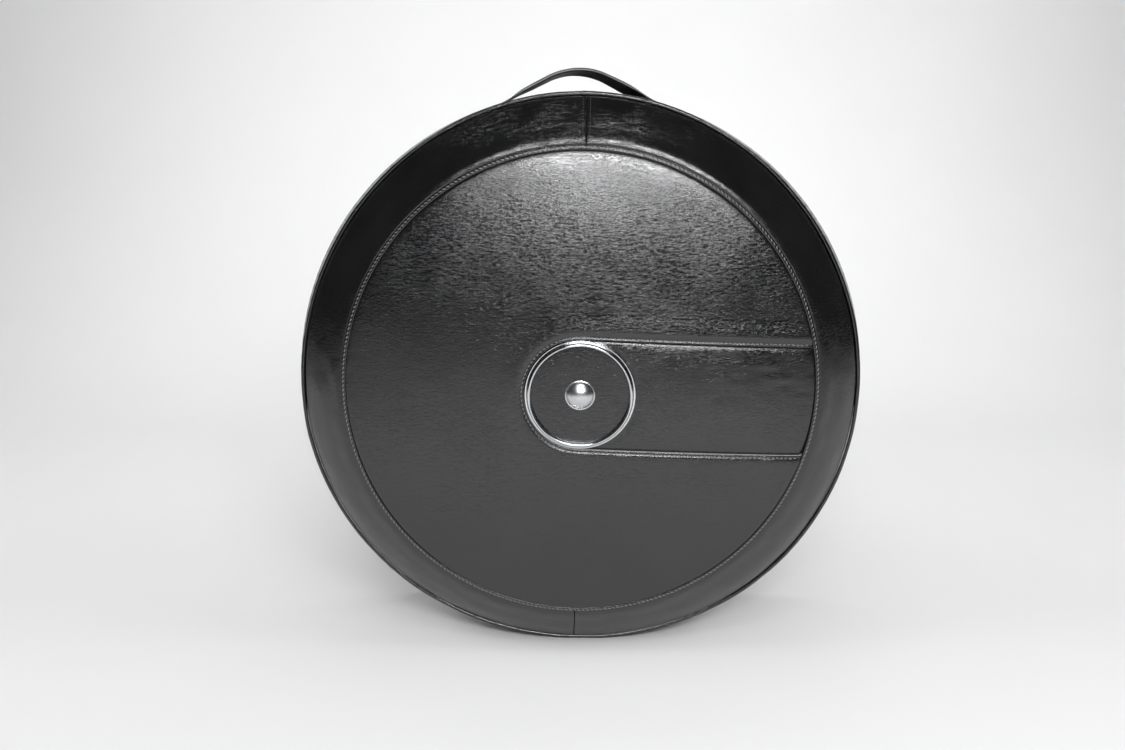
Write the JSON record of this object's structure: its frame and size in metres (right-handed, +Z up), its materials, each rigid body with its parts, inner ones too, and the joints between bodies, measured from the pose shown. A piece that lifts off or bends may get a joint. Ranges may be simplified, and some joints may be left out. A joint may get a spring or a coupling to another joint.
{
  "type": "spare tyre cover",
  "caption": "Round leatherette cover for an upright spare wheel, with a crowned front, a sloping shoulder, an elasticated rear edge and a carry handle on top.",
  "frame": {"origin": "on the floor, under the middle of the cover's box", "axes": "+Z up, the front faces -Y, +X to the right seen from the front"},
  "size_m": [0.77, 0.2795, 0.8033],
  "materials": {
    "leatherette": "satin",
    "foam": "matte",
    "board": "matte",
    "lining": "matte",
    "tape": "matte",
    "thread": "satin",
    "cord": "matte",
    "elastic": "matte",
    "steel": "satin",
    "chrome": "polished"
  },
  "bodies": {
    "cover": {"face_panel": "leatherette", "inset_panel": "leatherette", "face_foam": "foam", "inset_foam": "foam", "stiffener_board": "board", "face_lining": "lining", "disc_seam_binding": "tape", "disc_seam_thread": "thread", "inset_seam_thread": "thread", "shoulder_left": "leatherette", "shoulder_right": "leatherette", "shoulder_foam_left": "foam", "shoulder_foam_right": "foam", "shoulder_lining": "lining", "shoulder_tape_top": "tape", "shoulder_tape_bottom": "tape", "shoulder_seam_threads": "thread", "piping_cover": "leatherette", "piping_cord": "cord", "front_seam_binding": "tape", "wall_left": "leatherette", "wall_right": "leatherette", "wall_foam_left": "foam", "wall_foam_right": "foam", "wall_lining": "lining", "wall_tape_top": "tape", "wall_tape_bottom": "tape", "rear_panel_left": "leatherette", "rear_panel_right": "leatherette", "rear_seam_thread": "thread", "hem_elastic": "elastic", "elastic_ferrule": "steel", "handle_root_left": "leatherette", "handle_root_right": "leatherette", "handle_threads": "thread", "handle_patch_left": "leatherette", "handle_patch_right": "leatherette", "badge_ring": "chrome", "badge_dome": "chrome", "badge_backing_plate": "board", "badge_push_nuts": "steel"},
    "handle": {"handle_strap": "leatherette", "handle_core": "tape", "handle_underside": "leatherette"}
  },
  "joints": [
    {"name": "handle_swing", "type": "hinge", "parent": "cover", "child": "handle", "pos_m": [0, 0.03175, 0.76695], "axis": [1, 0, 0], "range_deg": [-29, 61]}
  ]
}
